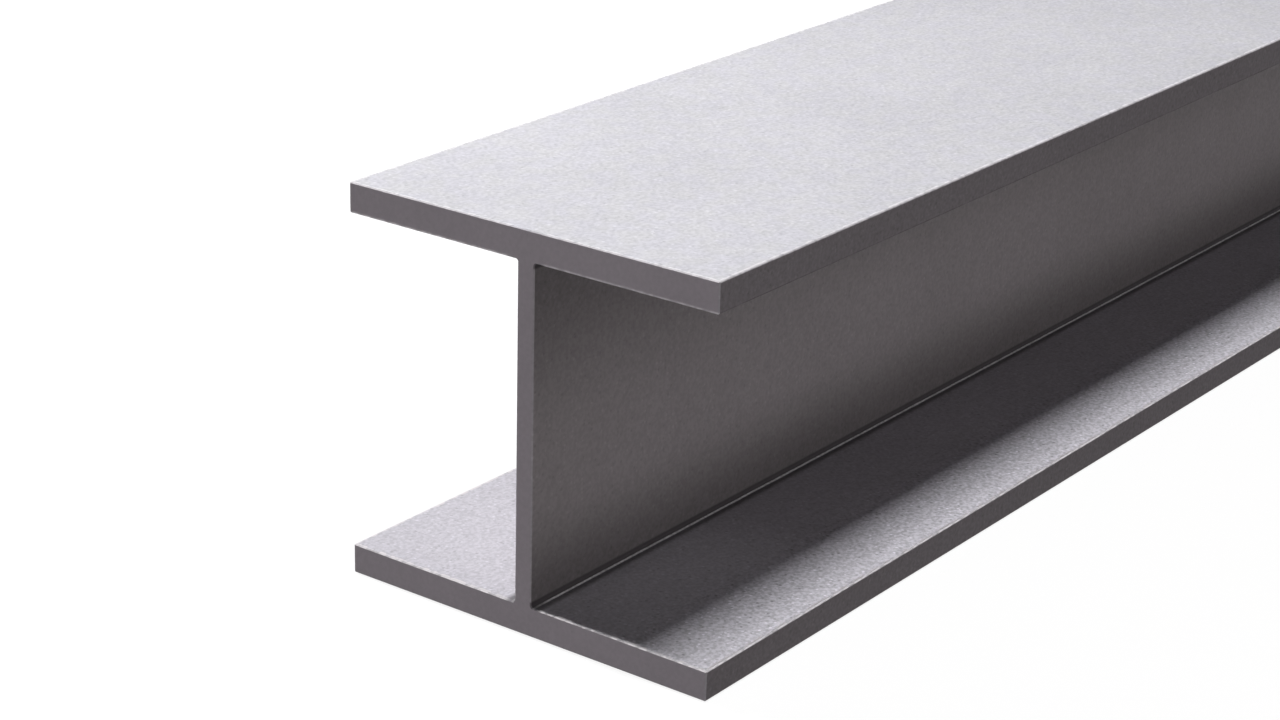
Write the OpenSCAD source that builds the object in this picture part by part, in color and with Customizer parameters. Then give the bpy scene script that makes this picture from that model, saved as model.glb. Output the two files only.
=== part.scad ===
// Steel H-beam: one straight length of wide-flange structural section.
// Millimetres. The length runs along X, the flange width along Y and the depth along Z.
// The origin is under the middle of the bar, on the underside of the bottom flange.

/* [Section] */
// Depth of the section, over both flanges
depth = 113; // [90:1:400]
// Width of a flange, toe to toe
flange_w = 120; // [90:1:400]
// Thickness of a flange
flange_t = 8.5; // [6:0.5:24]
// Thickness of the web
web_t = 5.5; // [4:0.5:16]
// Radius of the root, where the web runs into a flange
root_r = 0.8; // [0.5:0.1:20]
// Radius of the long edges of a flange, at its toes
toe_r = 0.5; // [0.2:0.1:2.5]

/* [Bar] */
// Length of the bar, saw cut to saw cut
length = 1000; // [200:10:12000]
// Width of the 45 degree break that takes the burr off the sawn edges
end_break = 0.3; // [0.1:0.1:1.5]

/* [Hidden] */
$fn = 64;
steel_grey = [0.66, 0.66, 0.69];
// Centres of a root radius, from the middle of the web and from the outer face of its flange
root_y = web_t / 2 + root_r;
root_z = flange_t + root_r;

// The whole bar, rolled as one piece: two flanges, the web between them and a fillet in each root.
module h_beam() {
    color(steel_grey) {
        web();
        both_flanges() {
            flange();
            root_fillet();
            mirror([0, 1, 0]) root_fillet();
        }
    }
}

// Web: from the middle of one flange to the middle of the other.
module web() {
    translate([0, 0, flange_t / 2])
        linear_extrude(depth - flange_t)
            sawn_outline(web_t);
}

// Bottom flange: its cross-section, cut to the outlines that it has from above and from the side.
module flange() {
    intersection() {
        run_along_bar() flange_section();
        linear_extrude(flange_t) sawn_outline(flange_w);
        translate([0, 0, flange_t / 2])
            rotate([90, 0, 0])
                linear_extrude(flange_w, center = true) sawn_outline(flange_t);
    }
}

// Flange cross-section: a flat bar with rounded toes, standing on the Y axis.
module flange_section() {
    translate([0, flange_t / 2]) {
        square([flange_w - 2 * toe_r, flange_t], center = true);
        square([flange_w, flange_t - 2 * toe_r], center = true);
        for (side = [-1, 1], face = [-1, 1])
            translate([side * (flange_w / 2 - toe_r), face * (flange_t / 2 - toe_r)])
                circle(toe_r);
    }
}

// Fillet of one root, from the middles of the web and the flange out to its radius.
module root_fillet() {
    difference() {
        translate([-length / 2, 0, flange_t / 2])
            cube([length, root_y, root_z - flange_t / 2]);
        translate([0, root_y, root_z]) root_hollow();
    }
}

// The round hollow of a root, which flares at both ends as far as the sawn edges are broken.
module root_hollow() {
    run_along_bar() circle(root_r);
    for (end = [0, 1])
        mirror([end, 0, 0])
            translate([length / 2, 0, 0])
                rotate([0, -90, 0])
                    cylinder(h = end_break, r1 = root_r + end_break, r2 = root_r);
}

// Outline of a plate of the bar's length and a given width, with the four corners at its sawn ends broken.
module sawn_outline(width) {
    end_x = length / 2;
    side_y = width / 2;
    polygon([
        [-end_x, -side_y + end_break], [-end_x + end_break, -side_y],
        [end_x - end_break, -side_y], [end_x, -side_y + end_break],
        [end_x, side_y - end_break], [end_x - end_break, side_y],
        [-end_x + end_break, side_y], [-end_x, side_y - end_break]
    ]);
}

// Extrudes a cross-section, drawn with Y to the right and Z up, along the whole bar.
module run_along_bar() {
    rotate([90, 0, 90])
        linear_extrude(length, center = true) children();
}

// The bottom flange's pieces where they are drawn, and again turned over for the top flange.
module both_flanges() {
    children();
    translate([0, 0, depth]) mirror([0, 0, 1]) children();
}

h_beam();
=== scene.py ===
"""Looks of a short length of wide-flange steel section, lying on a white studio floor."""
import math

import bpy
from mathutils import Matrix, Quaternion, Vector


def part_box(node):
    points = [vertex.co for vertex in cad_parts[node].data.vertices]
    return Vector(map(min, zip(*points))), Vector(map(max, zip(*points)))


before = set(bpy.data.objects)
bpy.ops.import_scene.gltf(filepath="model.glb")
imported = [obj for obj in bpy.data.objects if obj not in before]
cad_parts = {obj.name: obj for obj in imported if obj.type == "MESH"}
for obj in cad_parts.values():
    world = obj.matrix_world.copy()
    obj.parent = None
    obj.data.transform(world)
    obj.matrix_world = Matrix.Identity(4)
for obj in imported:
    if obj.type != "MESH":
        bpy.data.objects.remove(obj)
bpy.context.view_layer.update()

MM = 0.001
IMAGE_WIDTH = 1280

# The section, in metres, as the bar is rolled
WEB_T = 5.5 * MM
FLANGE_T = 8.5 * MM
ROOT_R = 0.8 * MM
LOW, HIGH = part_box("h_beam")
HALF_LENGTH = HIGH.x
HALF_WIDTH = HIGH.y
DEPTH = HIGH.z
SOFFIT = DEPTH - FLANGE_T
NEAR_END = Vector((LOW.x, 0, 0))
FAR_END = Vector((HIGH.x, 0, 0))
MIDDLE = Vector((0, 0, DEPTH / 2))

# The camera: its place from the foot of the near end, and where it looks
EYE_FROM_END = Vector((-0.5383, -0.4376, 0.3457))
VIEW_AZIMUTH = math.radians(-53.32)
VIEW_ELEVATION = math.radians(21.07)
VIEW_ROLL = math.radians(1.44)
FOCAL_PIXELS = 2909
SENSOR_WIDTH = 36
CLIP_START = 0.01

# Colours of the steel, as linear light
SKIN_COOL = (0.462, 0.456, 0.492, 1)
SKIN_WARM = (0.468, 0.463, 0.484, 1)
# Painted light: the upper face of the bottom flange is lighter than the skin, so that where lamps reach it,
# it shows as bright as the top
PAINTED_LIGHT_GREY = (0.626, 0.609, 0.661, 1)
WEB_GREY = (0.489, 0.461, 0.469, 1)
# Painted shade: darker than the skin, on the web by the roots and on the undersides, where shade falls
PAINTED_SHADE_GREY = (0.227, 0.212, 0.216, 1)
TOE_GREY = (0.262, 0.244, 0.256, 1)
SAWN_GREY = (0.425, 0.4, 0.432, 1)
# Bare metal, partly wear and partly painted highlight on the edges, and painted highlight on the root line
BARE_AND_HIGHLIGHT_GREY = (0.915, 0.884, 0.904, 1)
# Painted shade: the dark crease along each root
CREASE_SHADE_GREY = (0.095, 0.088, 0.093, 1)

# The colour of each finish and of the painted light and shade, laid over the skin in this order
FINISH_AND_PAINTED_LIGHT_COLOURS = {
    # painted light on the upper face of the bottom flange
    "painted_light_face": PAINTED_LIGHT_GREY,
    "web": WEB_GREY,
    # painted shade, named scale, on the web by the roots and on the undersides
    "scale": PAINTED_SHADE_GREY,
    "toe": TOE_GREY,
    "sawn": SAWN_GREY,
}

# How the grain changes the tone of the skin, and how much of it some finishes show
PIT_SHARE = 0.75
PIT_CONTRAST = 0.17
GLINT_LIFT = 0.14
POCK_DROP = 0.12
CLOUD_CONTRAST = 0.02
FINISH_GRAIN = {"painted_light_face": 1.25, "coarse": 2.0, "sawn": 0.4, "web": 0.85}

# Where the soft step of each noise, speck and chance starts and ends
GRAIN_STEP = (0.36, 0.64)
CLOUD_STEP = (0.3, 0.7)
TINT_STEP = (0.35, 0.65)
NICK_STEP = (0.38, 0.62)
DULL_STEP = (0.35, 0.6)
SPECK_STEP = (0.32, 0.22)
GLINT_STEP = (0.64, 0.7)
POCK_STEP = (0.36, 0.3)

# How squarely a surface faces along an axis, where 1 is fully, as the start and end of a soft step
FACING = (0.6, 0.9)
LEVEL = (0.8, 0.97)
ARRIS_UPWARD = (0.1, 0.6)
ARRIS_ENDWARD = (0.3, 0.6)

# The bare rims, partly wear and partly painted highlight: how ragged they are, the strength of each, and
# where they start from the bar's middle
RIM_BLUR = 0.15 * MM
RIM_NARROWEST = 0.6
RIM_DULLEST = 0.4
LOWER_RIM = 0.9
UPPER_RIM = 0.5
SOFFIT_RIM = 0.4
SOFFIT_RIM_WIDTH = 0.8 * MM
SOFFIT_BLUR = 0.1 * MM
RIM_FROM_MIDDLE = (4 * MM, 7 * MM)

# The marks along the roots: painted shade in the crease, where it is full and how it fades, the painted
# highlight line's soft edges and its least strengths, and where both stop inside the flanges
CREASE_FULL_ON_WEB = 1.1 * MM
CREASE_FULL_ON_FLANGE = 1.9 * MM
CREASE_FADE = 1.5 * MM
CREASE_FADED = 0.75
LINE_EDGES = (0.5 * MM, 0.2 * MM)
LINE_AT_END = 0.3
LINE_DULLEST = 0.65
BETWEEN_FLANGES = (-1.0 * MM, -0.2 * MM)

# Where the toes start, from the web, and where the coarse skin starts towards the right toe
TOE_STEP = (HALF_WIDTH * 0.5, HALF_WIDTH * 0.8)
COARSE_STEP = (-HALF_WIDTH * 0.4, -HALF_WIDTH * 0.75)

# Gloss, metal and bump of the steel
SPECULAR_LEVEL = 0.08
PIT_ROUGHNESS = 0.86
CREST_ROUGHNESS = 0.74
ROUGHNESS_STEP = (0.2, 0.8)
WEB_SMOOTHER = 0.24
BARE_AND_HIGHLIGHT_SMOOTHER = 0.15
GLINT_METAL = 0.08
ROLLED_METAL = 0.03
BARE_AND_HIGHLIGHT_METAL = 0.85
BUMP_STRENGTH = 0.35
BUMP_DEPTH = 0.12 * MM
SAWN_BUMP = 0.3

# The studio's colours, and its floor, which glows a little less around the bar than far off
WHITE = (1, 1, 1, 1)
FLOOR_GREY = (0.16, 0.16, 0.16, 1)
FLOOR_BOUNCE = (0.04, 0.035, 0.037, 1)
SKY_FILL = (0.003, 0.0028, 0.0028, 1)
LAMP_WHITE = (1, 1, 1)
FILL_WARM = (1, 0.955, 0.965)
FLOOR_GLOW = 0.87
FLOOR_GLOW_STEP = (0.7, 1.5)
FLOOR_REACH = 20.0
FLOOR_DROP = 0.2 * MM

# The overhead lamp: its level and height, where it starts and ends along the bar, and the strip
# of the bottom flange that its light reaches past the edge of the top flange
OVERHEAD_LEVEL = 0.73
OVERHEAD_HEIGHT = 1.7
OVERHEAD_START = LOW.x
OVERHEAD_END = LOW.x + 0.12
LIT_STRIP = 21.5 * MM
FULLY_LIT_STRIP = 2.5 * MM


def add_node(tree, kind, values=None, **settings):
    """Adds a node. A value that is another node's output is linked, any other is set."""
    made = tree.nodes.new(kind)
    for name, setting in settings.items():
        setattr(made, name, setting)
    for socket, value in (values or {}).items():
        if isinstance(value, bpy.types.NodeSocket):
            tree.links.new(value, made.inputs[socket])
        else:
            made.inputs[socket].default_value = value
    return made


def math_node(tree, operation, *values):
    """The result of one operation on one to three values."""
    numbered = dict(enumerate(values))
    return add_node(tree, "ShaderNodeMath", numbered, operation=operation).outputs[0]


def ramp(tree, value, start, end, low=0.0, high=1.0):
    """A smooth step from low at start to high at end."""
    steps = {"Value": value, "From Min": start, "From Max": end, "To Min": low, "To Max": high}
    return add_node(tree, "ShaderNodeMapRange", steps, interpolation_type="SMOOTHSTEP").outputs[0]


def product(tree, first, *others):
    """All the values multiplied. For masks, this is the part that they share."""
    result = first
    for value in others:
        result = math_node(tree, "MULTIPLY", result, value)
    return result


def blend_colour(tree, share, first, second):
    """The first colour, with the second one laid over it by its share."""
    mix = add_node(tree, "ShaderNodeMix", {"Factor": share, 6: first, 7: second}, data_type="RGBA")
    return mix.outputs[2]


def noise(tree, place, size, detail):
    """A noise around one half, with lumps about as wide as the size."""
    scale = math_node(tree, "DIVIDE", 1.0, size)
    values = {"Vector": place, "Scale": scale, "Detail": detail}
    return add_node(tree, "ShaderNodeTexNoise", values).outputs["Fac"]


def place_parts(tree):
    """The place on the bar in metres, its X, Y and Z, and those of the way that its surface faces."""
    coordinates = add_node(tree, "ShaderNodeTexCoord")
    place = coordinates.outputs["Object"]
    split_place = add_node(tree, "ShaderNodeSeparateXYZ", {0: place})
    split_normal = add_node(tree, "ShaderNodeSeparateXYZ", {0: coordinates.outputs["Normal"]})
    return place, split_place.outputs, split_normal.outputs


def unsigned(tree, value):
    """A value without its sign, so that both sides are alike."""
    return math_node(tree, "ABSOLUTE", value)


def from_end(tree, spot):
    """How far a spot is from the nearer end of the bar."""
    return math_node(tree, "SUBTRACT", HALF_LENGTH, unsigned(tree, spot["X"]))


def section_gaps(tree, spot):
    """How far a spot is out from the web, over the bottom flange and under the top one."""
    from_web = math_node(tree, "SUBTRACT", unsigned(tree, spot["Y"]), WEB_T / 2)
    over_bottom = math_node(tree, "SUBTRACT", spot["Z"], FLANGE_T)
    under_top = math_node(tree, "SUBTRACT", SOFFIT, spot["Z"])
    return from_web, over_bottom, under_top


def effect_group(name, inputs, outputs):
    """An empty shader group with named number sockets: inputs as name and value, outputs as names."""
    group = bpy.data.node_groups.new(name, "ShaderNodeTree")
    for label, value in inputs.items():
        socket = group.interface.new_socket(label, in_out="INPUT", socket_type="NodeSocketFloat")
        socket.default_value = value
    for label in outputs:
        group.interface.new_socket(label, in_out="OUTPUT", socket_type="NodeSocketFloat")
    return group, add_node(group, "NodeGroupInput").outputs, add_node(group, "NodeGroupOutput").inputs


def put_out(group, sockets, values):
    """Links each named value to the group's output of that name."""
    for label, value in values.items():
        group.links.new(value, sockets[label])


def use_effect(tree, group):
    """Places a group in a material, and gives its outputs."""
    return add_node(tree, "ShaderNodeGroup", node_tree=group).outputs


def blasted_grain():
    """The skin's fine pits and wider blotches, with stray glints and dark pocks."""
    sizes = {"pit size": 1.2 * MM, "blotch size": 3 * MM, "speck spacing": 1.6 * MM}
    group, given, gives = effect_group("blasted grain", sizes, ["tone", "height", "glints", "pocks"])
    place, _, _ = place_parts(group)
    pits = noise(group, place, given["pit size"], detail=2.0)
    blotches = noise(group, place, given["blotch size"], detail=1.0)
    pit_tone = ramp(group, pits, *GRAIN_STEP, high=PIT_SHARE)
    blotch_tone = ramp(group, blotches, *GRAIN_STEP, high=1 - PIT_SHARE)
    tone = math_node(group, "ADD", pit_tone, blotch_tone)

    density = math_node(group, "DIVIDE", 1.0, given["speck spacing"])
    cells = add_node(group, "ShaderNodeTexVoronoi", {"Vector": place, "Scale": density}).outputs
    speck = ramp(group, cells["Distance"], *SPECK_STEP)
    chance = add_node(group, "ShaderNodeSeparateColor", {0: cells["Color"]}).outputs["Red"]
    glints = product(group, speck, ramp(group, chance, *GLINT_STEP))
    pocks = product(group, speck, ramp(group, chance, *POCK_STEP))
    put_out(group, gives, {"tone": tone, "height": pits, "glints": glints, "pocks": pocks})
    return group


def cloudy_patches():
    """Soft patches where the skin is a little lighter or darker, and smaller ones of a warmer tint."""
    sizes = {"patch size": 45 * MM, "tint size": 7 * MM}
    group, given, gives = effect_group("cloudy patches", sizes, ["tone", "tint"])
    place, _, _ = place_parts(group)
    clouds = noise(group, place, given["patch size"], detail=3.0)
    tints = noise(group, place, given["tint size"], detail=1.0)
    tone = ramp(group, clouds, *CLOUD_STEP)
    tint = ramp(group, tints, *TINT_STEP)
    put_out(group, gives, {"tone": tone, "tint": tint})
    return group


def bright_arris():
    """Bare metal on the edges, partly wear from handling and partly painted highlight.

    The upper edges have a ragged rim, fainter on the top flange. The lower edges of the top
    flange's sawn ends have a thin one, which is painted highlight.
    """
    sizes = {"rim width": 1.1 * MM, "nick size": 2.5 * MM}
    group, given, gives = effect_group("bright arris", sizes, ["wear_and_highlight"])
    place, spot, normal = place_parts(group)
    from_middle = unsigned(group, spot["Y"])
    from_toe = math_node(group, "SUBTRACT", HALF_WIDTH, from_middle)
    from_edge = math_node(group, "MINIMUM", from_end(group, spot), from_toe)
    nicks = noise(group, place, given["nick size"], detail=2.0)
    reach = product(group, ramp(group, nicks, *NICK_STEP, low=RIM_NARROWEST), given["rim width"])
    past_rim = math_node(group, "SUBTRACT", from_edge, reach)
    rim = ramp(group, past_rim, RIM_BLUR, -RIM_BLUR)
    dulled = ramp(group, nicks, *DULL_STEP, low=RIM_DULLEST)
    clear_of_web = ramp(group, from_middle, *RIM_FROM_MIDDLE)

    strength = ramp(group, spot["Z"], DEPTH / 2, SOFFIT, low=LOWER_RIM, high=UPPER_RIM)
    upper = product(group, ramp(group, normal["Z"], *ARRIS_UPWARD), strength)
    over_soffit = math_node(group, "SUBTRACT", spot["Z"], SOFFIT)
    soffit_start = ramp(group, over_soffit, -SOFFIT_BLUR, 0.0)
    soffit_end = ramp(group, over_soffit, SOFFIT_RIM_WIDTH, SOFFIT_RIM_WIDTH / 2)
    endward = ramp(group, unsigned(group, normal["X"]), *ARRIS_ENDWARD)
    lower = product(group, soffit_start, soffit_end, endward, SOFFIT_RIM)
    edges = math_node(group, "MAXIMUM", upper, lower)
    put_out(group, gives, {"wear_and_highlight": product(group, rim, edges, clear_of_web, dulled)})
    return group


def finish_and_painted_light_masks():
    """Where the bar is sawn, its web and its toes, where it has painted shade and painted light, and where
    its skin is coarse.

    The painted shade, named scale, is on the web by the roots and on the undersides. The painted light is
    on the upper face of the bottom flange, which is coarse along its right toe.
    """
    reaches = {"painted shade over bottom root": 30 * MM, "painted shade under top root": 55 * MM}
    finishes = ["sawn", "web", "toe", "scale", "painted_light_face", "coarse"]
    group, given, gives = effect_group("finish and painted light masks", reaches, finishes)
    _, spot, normal = place_parts(group)
    from_web, over_bottom, under_top = section_gaps(group, spot)
    sawn = ramp(group, unsigned(group, normal["X"]), *FACING)
    sideways = ramp(group, unsigned(group, normal["Y"]), *FACING)
    outer = ramp(group, from_web, *TOE_STEP)
    inner = math_node(group, "SUBTRACT", 1.0, outer)
    web = product(group, sideways, inner)
    toe = product(group, sideways, outer)

    # Painted shade, named scale: the web darkens towards each root, over a longer reach under the top
    # flange, and every underside is dark
    painted_shade_low = ramp(group, over_bottom, given["painted shade over bottom root"], 0.0)
    painted_shade_high = ramp(group, under_top, given["painted shade under top root"], 0.0)
    by_root = math_node(group, "MAXIMUM", painted_shade_low, painted_shade_high)
    downward = math_node(group, "MULTIPLY", normal["Z"], -1.0)
    underside = ramp(group, downward, *LEVEL)
    scale = math_node(group, "MAXIMUM", product(group, web, by_root), underside)

    # Painted light: the upper face of the bottom flange, coloured lighter than the skin
    low_down = ramp(group, spot["Z"], DEPTH / 2, FLANGE_T)
    painted_light_face = product(group, low_down, ramp(group, normal["Z"], *LEVEL))
    coarse = product(group, painted_light_face, ramp(group, spot["Y"], *COARSE_STEP))
    masks = {"sawn": sawn, "web": web, "toe": toe, "scale": scale, "painted_light_face": painted_light_face, "coarse": coarse}
    put_out(group, gives, masks)
    return group


def root_marks():
    """Painted shade in the crease along each root, and a thin painted highlight line in it."""
    reaches = {
        "crease on web": 1.9 * MM,
        "crease on flange": 4.3 * MM,
        "line from web": 0.85 * MM,
        "line run-in": 8 * MM,
    }
    group, given, gives = effect_group("root marks", reaches, ["crease_shade", "highlight_line"])
    _, spot, normal = place_parts(group)
    from_web, over_bottom, under_top = section_gaps(group, spot)
    from_flange = math_node(group, "MINIMUM", over_bottom, under_top)
    sawn = ramp(group, unsigned(group, normal["X"]), *FACING)
    not_sawn = math_node(group, "SUBTRACT", 1.0, sawn)
    between = product(group, ramp(group, from_flange, *BETWEEN_FLANGES), not_sawn)

    # Painted shade: the crease darkens the web and the flange beside each root
    up_web = ramp(group, from_flange, given["crease on web"], CREASE_FULL_ON_WEB)
    along_flange = ramp(group, from_web, given["crease on flange"], CREASE_FULL_ON_FLANGE)
    fading = ramp(group, from_web, 0.0, CREASE_FADE, low=1.0, high=CREASE_FADED)
    crease_shade = product(group, up_web, along_flange, fading, between)

    # Painted highlight: a thin bright line along each root, on the flange side of the fillet
    off_line = math_node(group, "SUBTRACT", from_web, given["line from web"])
    on_line = ramp(group, unsigned(group, off_line), *LINE_EDGES)
    on_flange = ramp(group, from_flange, ROOT_R, ROOT_R / 2)
    run_in = ramp(group, from_end(group, spot), 0.0, given["line run-in"], low=LINE_AT_END)
    highlight_line = product(group, on_line, on_flange, run_in, between)
    put_out(group, gives, {"crease_shade": crease_shade, "highlight_line": highlight_line})
    return group


def steel_tone(tree, grain, clouds, masks):
    """How much lighter or darker than its colour the skin is, around one."""
    pits = math_node(tree, "MULTIPLY_ADD", grain["tone"], PIT_CONTRAST, -PIT_CONTRAST / 2)
    glints = math_node(tree, "MULTIPLY", grain["glints"], GLINT_LIFT)
    pocks = math_node(tree, "MULTIPLY", grain["pocks"], POCK_DROP)
    specks = math_node(tree, "SUBTRACT", glints, pocks)
    marks = math_node(tree, "ADD", pits, specks)
    for finish, contrast in FINISH_GRAIN.items():
        marks = product(tree, marks, ramp(tree, masks[finish], 0, 1, low=1.0, high=contrast))
    cloud = ramp(tree, clouds["tone"], 0, 1, low=1 - CLOUD_CONTRAST, high=1 + CLOUD_CONTRAST)
    return product(tree, math_node(tree, "ADD", marks, 1.0), cloud)


def steel_colour(tree, grain, clouds, masks, crease_shade, bare_and_highlight):
    """The skin under its finishes and its painted light and shade, with its grain, painted shade in its
    root creases, and its bare edges and painted highlights.
    """
    skin = blend_colour(tree, clouds["tint"], SKIN_COOL, SKIN_WARM)
    for finish, colour in FINISH_AND_PAINTED_LIGHT_COLOURS.items():
        skin = blend_colour(tree, masks[finish], skin, colour)
    tone = steel_tone(tree, grain, clouds, masks)
    grained = add_node(tree, "ShaderNodeVectorMath", {0: skin, "Scale": tone}, operation="SCALE").outputs[0]
    # painted shade in the root creases
    creased = blend_colour(tree, crease_shade, grained, CREASE_SHADE_GREY)
    return blend_colour(tree, bare_and_highlight, creased, BARE_AND_HIGHLIGHT_GREY)


def steel_metal(tree, grain, masks, bare_and_highlight):
    """How metallic the steel looks: bare edges and painted highlights most, then glints, and the web and
    toes a little.
    """
    glints = math_node(tree, "MULTIPLY", grain["glints"], GLINT_METAL)
    rolled = math_node(tree, "ADD", masks["web"], masks["toe"])
    rolled_sheen = math_node(tree, "MULTIPLY", rolled, ROLLED_METAL)
    sheen = math_node(tree, "MAXIMUM", glints, rolled_sheen)
    bare_and_highlight_sheen = math_node(tree, "MULTIPLY", bare_and_highlight, BARE_AND_HIGHLIGHT_METAL)
    return math_node(tree, "MAXIMUM", sheen, bare_and_highlight_sheen)


def steel_roughness(tree, grain, masks, bare_and_highlight):
    """Rough all over, and less so on the web, the bare edges and the painted highlights."""
    skin = ramp(tree, grain["height"], *ROUGHNESS_STEP, low=PIT_ROUGHNESS, high=CREST_ROUGHNESS)
    web_polish = math_node(tree, "MULTIPLY", masks["web"], WEB_SMOOTHER)
    bare_and_highlight_polish = math_node(tree, "MULTIPLY", bare_and_highlight, BARE_AND_HIGHLIGHT_SMOOTHER)
    rolled = math_node(tree, "SUBTRACT", skin, web_polish)
    return math_node(tree, "SUBTRACT", rolled, bare_and_highlight_polish)


def steel_bump(tree, grain, masks):
    """The relief of the pits, which is shallow on the sawn ends."""
    depth = ramp(tree, masks["sawn"], 0, 1, low=1.0, high=SAWN_BUMP)
    height = product(tree, grain["height"], depth)
    values = {"Height": height, "Strength": BUMP_STRENGTH, "Distance": BUMP_DEPTH}
    return add_node(tree, "ShaderNodeBump", values).outputs["Normal"]


def mill_steel():
    """Blasted grey skin, with dark toes and sawn ends, painted shade as scale and in the root creases,
    painted light on the bottom flange's upper face, and bare edges, partly painted highlight, with a
    painted highlight line along each root.
    """
    material = bpy.data.materials.new("mill_steel")
    material.use_nodes = True
    tree = material.node_tree
    shader = tree.nodes["Principled BSDF"].inputs
    shader["Specular IOR Level"].default_value = SPECULAR_LEVEL
    grain = use_effect(tree, blasted_grain())
    clouds = use_effect(tree, cloudy_patches())
    masks = use_effect(tree, finish_and_painted_light_masks())
    roots = use_effect(tree, root_marks())
    wear_and_highlight = use_effect(tree, bright_arris())["wear_and_highlight"]
    # the painted highlight line along the roots, made ragged by the grain
    highlight_raggedness = ramp(tree, grain["tone"], 0, 1, low=LINE_DULLEST)
    # Bare metal on the edges, partly wear and partly painted highlight, and the painted highlight line
    # along the roots
    bare_and_highlight = math_node(tree, "MAXIMUM", wear_and_highlight, product(tree, roots["highlight_line"], highlight_raggedness))
    tree.links.new(steel_colour(tree, grain, clouds, masks, roots["crease_shade"], bare_and_highlight), shader["Base Color"])
    tree.links.new(steel_metal(tree, grain, masks, bare_and_highlight), shader["Metallic"])
    tree.links.new(steel_roughness(tree, grain, masks, bare_and_highlight), shader["Roughness"])
    tree.links.new(steel_bump(tree, grain, masks), shader["Normal"])
    return material


def seen_directly(tree):
    """1 for the rays of the camera, reflections and glass, and 0 for the light that surfaces scatter."""
    path = add_node(tree, "ShaderNodeLightPath").outputs
    shown = math_node(tree, "MAXIMUM", path["Is Camera Ray"], path["Is Glossy Ray"])
    return math_node(tree, "MAXIMUM", shown, path["Is Transmission Ray"])


def floor_paint():
    """White to look at, with the bar's faint shadow, but throwing little light back up."""
    material = bpy.data.materials.new("floor_paint")
    material.use_nodes = True
    tree = material.node_tree
    tree.nodes.remove(tree.nodes["Principled BSDF"])
    place = add_node(tree, "ShaderNodeTexCoord").outputs["Object"]
    away = add_node(tree, "ShaderNodeVectorMath", {0: place}, operation="LENGTH").outputs["Value"]
    strength = ramp(tree, away, *FLOOR_GLOW_STEP, low=FLOOR_GLOW)
    glow = add_node(tree, "ShaderNodeEmission", {"Color": WHITE, "Strength": strength})
    matt = add_node(tree, "ShaderNodeBsdfDiffuse", {"Color": FLOOR_GREY})
    white = add_node(tree, "ShaderNodeAddShader", {0: glow.outputs[0], 1: matt.outputs[0]})
    bounce = add_node(tree, "ShaderNodeBsdfDiffuse", {"Color": FLOOR_BOUNCE})
    faces = {0: seen_directly(tree), 1: bounce.outputs[0], 2: white.outputs[0]}
    shown = add_node(tree, "ShaderNodeMixShader", faces)
    tree.links.new(shown.outputs[0], tree.nodes["Material Output"].inputs["Surface"])
    return material


def make_floor():
    """A wide flat floor, just under the bar."""
    mesh = bpy.data.meshes.new("floor")
    corners = [(x * FLOOR_REACH, y * FLOOR_REACH, 0) for x, y in ((-1, -1), (1, -1), (1, 1), (-1, 1))]
    mesh.from_pydata(corners, [], [(0, 1, 2, 3)])
    floor = bpy.data.objects.new("floor", mesh)
    bpy.context.scene.collection.objects.link(floor)
    floor.location.z = -FLOOR_DROP
    mesh.materials.append(floor_paint())


def make_sky():
    """White behind everything, and a dim even fill."""
    world = bpy.data.worlds.new("studio")
    bpy.context.scene.world = world
    world.use_nodes = True
    tree = world.node_tree
    colour = blend_colour(tree, seen_directly(tree), SKY_FILL, WHITE)
    tree.links.new(colour, tree.nodes["Background"].inputs["Color"])


def softbox(name, place, target, size, level, tint=LAMP_WHITE):
    """A soft lamp. Level is how bright it makes a white card that faces it at the target."""
    lamp = bpy.data.lights.new(name, "AREA")
    lamp.shape = "RECTANGLE"
    lamp.size, lamp.size_y = size
    way = target - place
    lamp.energy = level * math.pi**2 * way.length_squared
    lamp.color = tint
    holder = bpy.data.objects.new(name, lamp)
    bpy.context.scene.collection.objects.link(holder)
    holder.location = place
    holder.rotation_mode = "QUATERNION"
    holder.rotation_quaternion = way.to_track_quat("-Z", "Y")
    holder.visible_camera = False
    holder.visible_glossy = False


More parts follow.
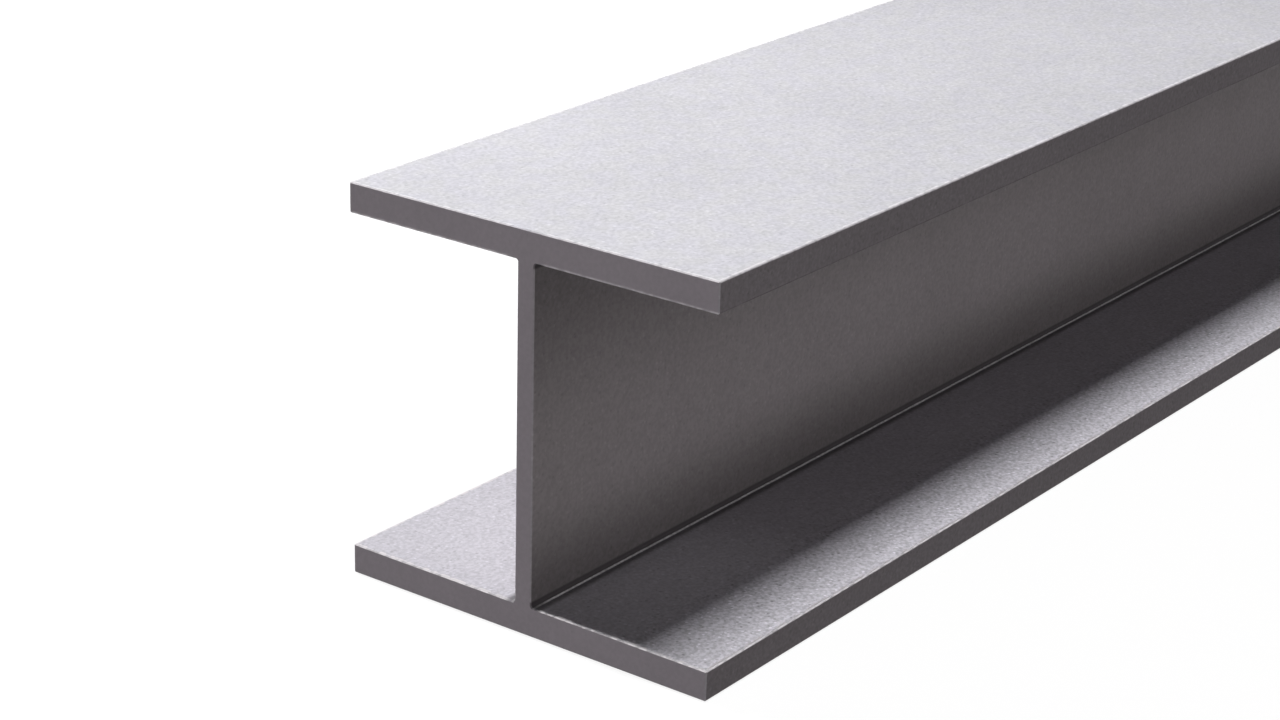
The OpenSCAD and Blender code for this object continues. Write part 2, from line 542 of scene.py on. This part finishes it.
def overhead_lamp():
    """Lights the top flange, and a strip of the bottom one along its right toe."""
    gap = SOFFIT - FLANGE_T
    drop = OVERHEAD_HEIGHT - FLANGE_T
    nearest = -HALF_WIDTH - drop * FULLY_LIT_STRIP / gap
    farthest = -HALF_WIDTH - drop * LIT_STRIP / gap
    under = Vector(((OVERHEAD_START + OVERHEAD_END) / 2, (nearest + farthest) / 2, 0))
    place = under + Vector((0, 0, OVERHEAD_HEIGHT))
    size = (OVERHEAD_END - OVERHEAD_START, nearest - farthest)
    softbox("overhead", place, under, size, OVERHEAD_LEVEL)


def make_lights():
    """Two main lamps, overhead and on the left, and weaker ones for the faces in shade."""
    overhead_lamp()
    softbox(
        "left", place=NEAR_END + Vector((0.02, 0.95, 0.57)), target=NEAR_END + Vector((-0.5, 0, 0)),
        size=(0.1, 0.4), level=1.4
    )
    softbox(
        "right_low", place=NEAR_END + Vector((0, -1.8, 0.1)), target=NEAR_END,
        size=(0.4, 0.14), level=0.14, tint=FILL_WARM
    )
    softbox(
        "front", place=NEAR_END + Vector((-2.5, 0.3, 0.25)), target=MIDDLE,
        size=(1.2, 0.4), level=0.202, tint=FILL_WARM
    )
    softbox(
        "front_high", place=NEAR_END + Vector((-1.4, -0.2, 1.95)), target=NEAR_END,
        size=(0.4, 0.4), level=0.022
    )
    softbox(
        "back", place=FAR_END + Vector((2.5, 0.3, 0.04)), target=MIDDLE,
        size=(1.2, 0.08), level=0.3
    )


def make_camera():
    """The camera, looking down along the bar from the right of its near end."""
    lens = bpy.data.cameras.new("camera")
    lens.sensor_width = SENSOR_WIDTH
    lens.lens = lens.sensor_width * FOCAL_PIXELS / IMAGE_WIDTH
    lens.clip_start = CLIP_START
    camera = bpy.data.objects.new("camera", lens)
    bpy.context.scene.collection.objects.link(camera)
    camera.location = NEAR_END + EYE_FROM_END
    level = math.cos(VIEW_ELEVATION)
    east = -math.sin(VIEW_AZIMUTH) * level
    north = math.cos(VIEW_AZIMUTH) * level
    ahead = Vector((east, north, -math.sin(VIEW_ELEVATION)))
    camera.rotation_mode = "QUATERNION"
    camera.rotation_quaternion = ahead.to_track_quat("-Z", "Y") @ Quaternion((0, 0, 1), VIEW_ROLL)
    bpy.context.scene.camera = camera


def dress_beam():
    """Gives the bar its steel."""
    steel = mill_steel()
    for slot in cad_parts["h_beam"].material_slots:
        slot.material = steel


bpy.context.scene.view_settings.view_transform = "Standard"
dress_beam()
make_floor()
make_sky()
make_lights()
make_camera()
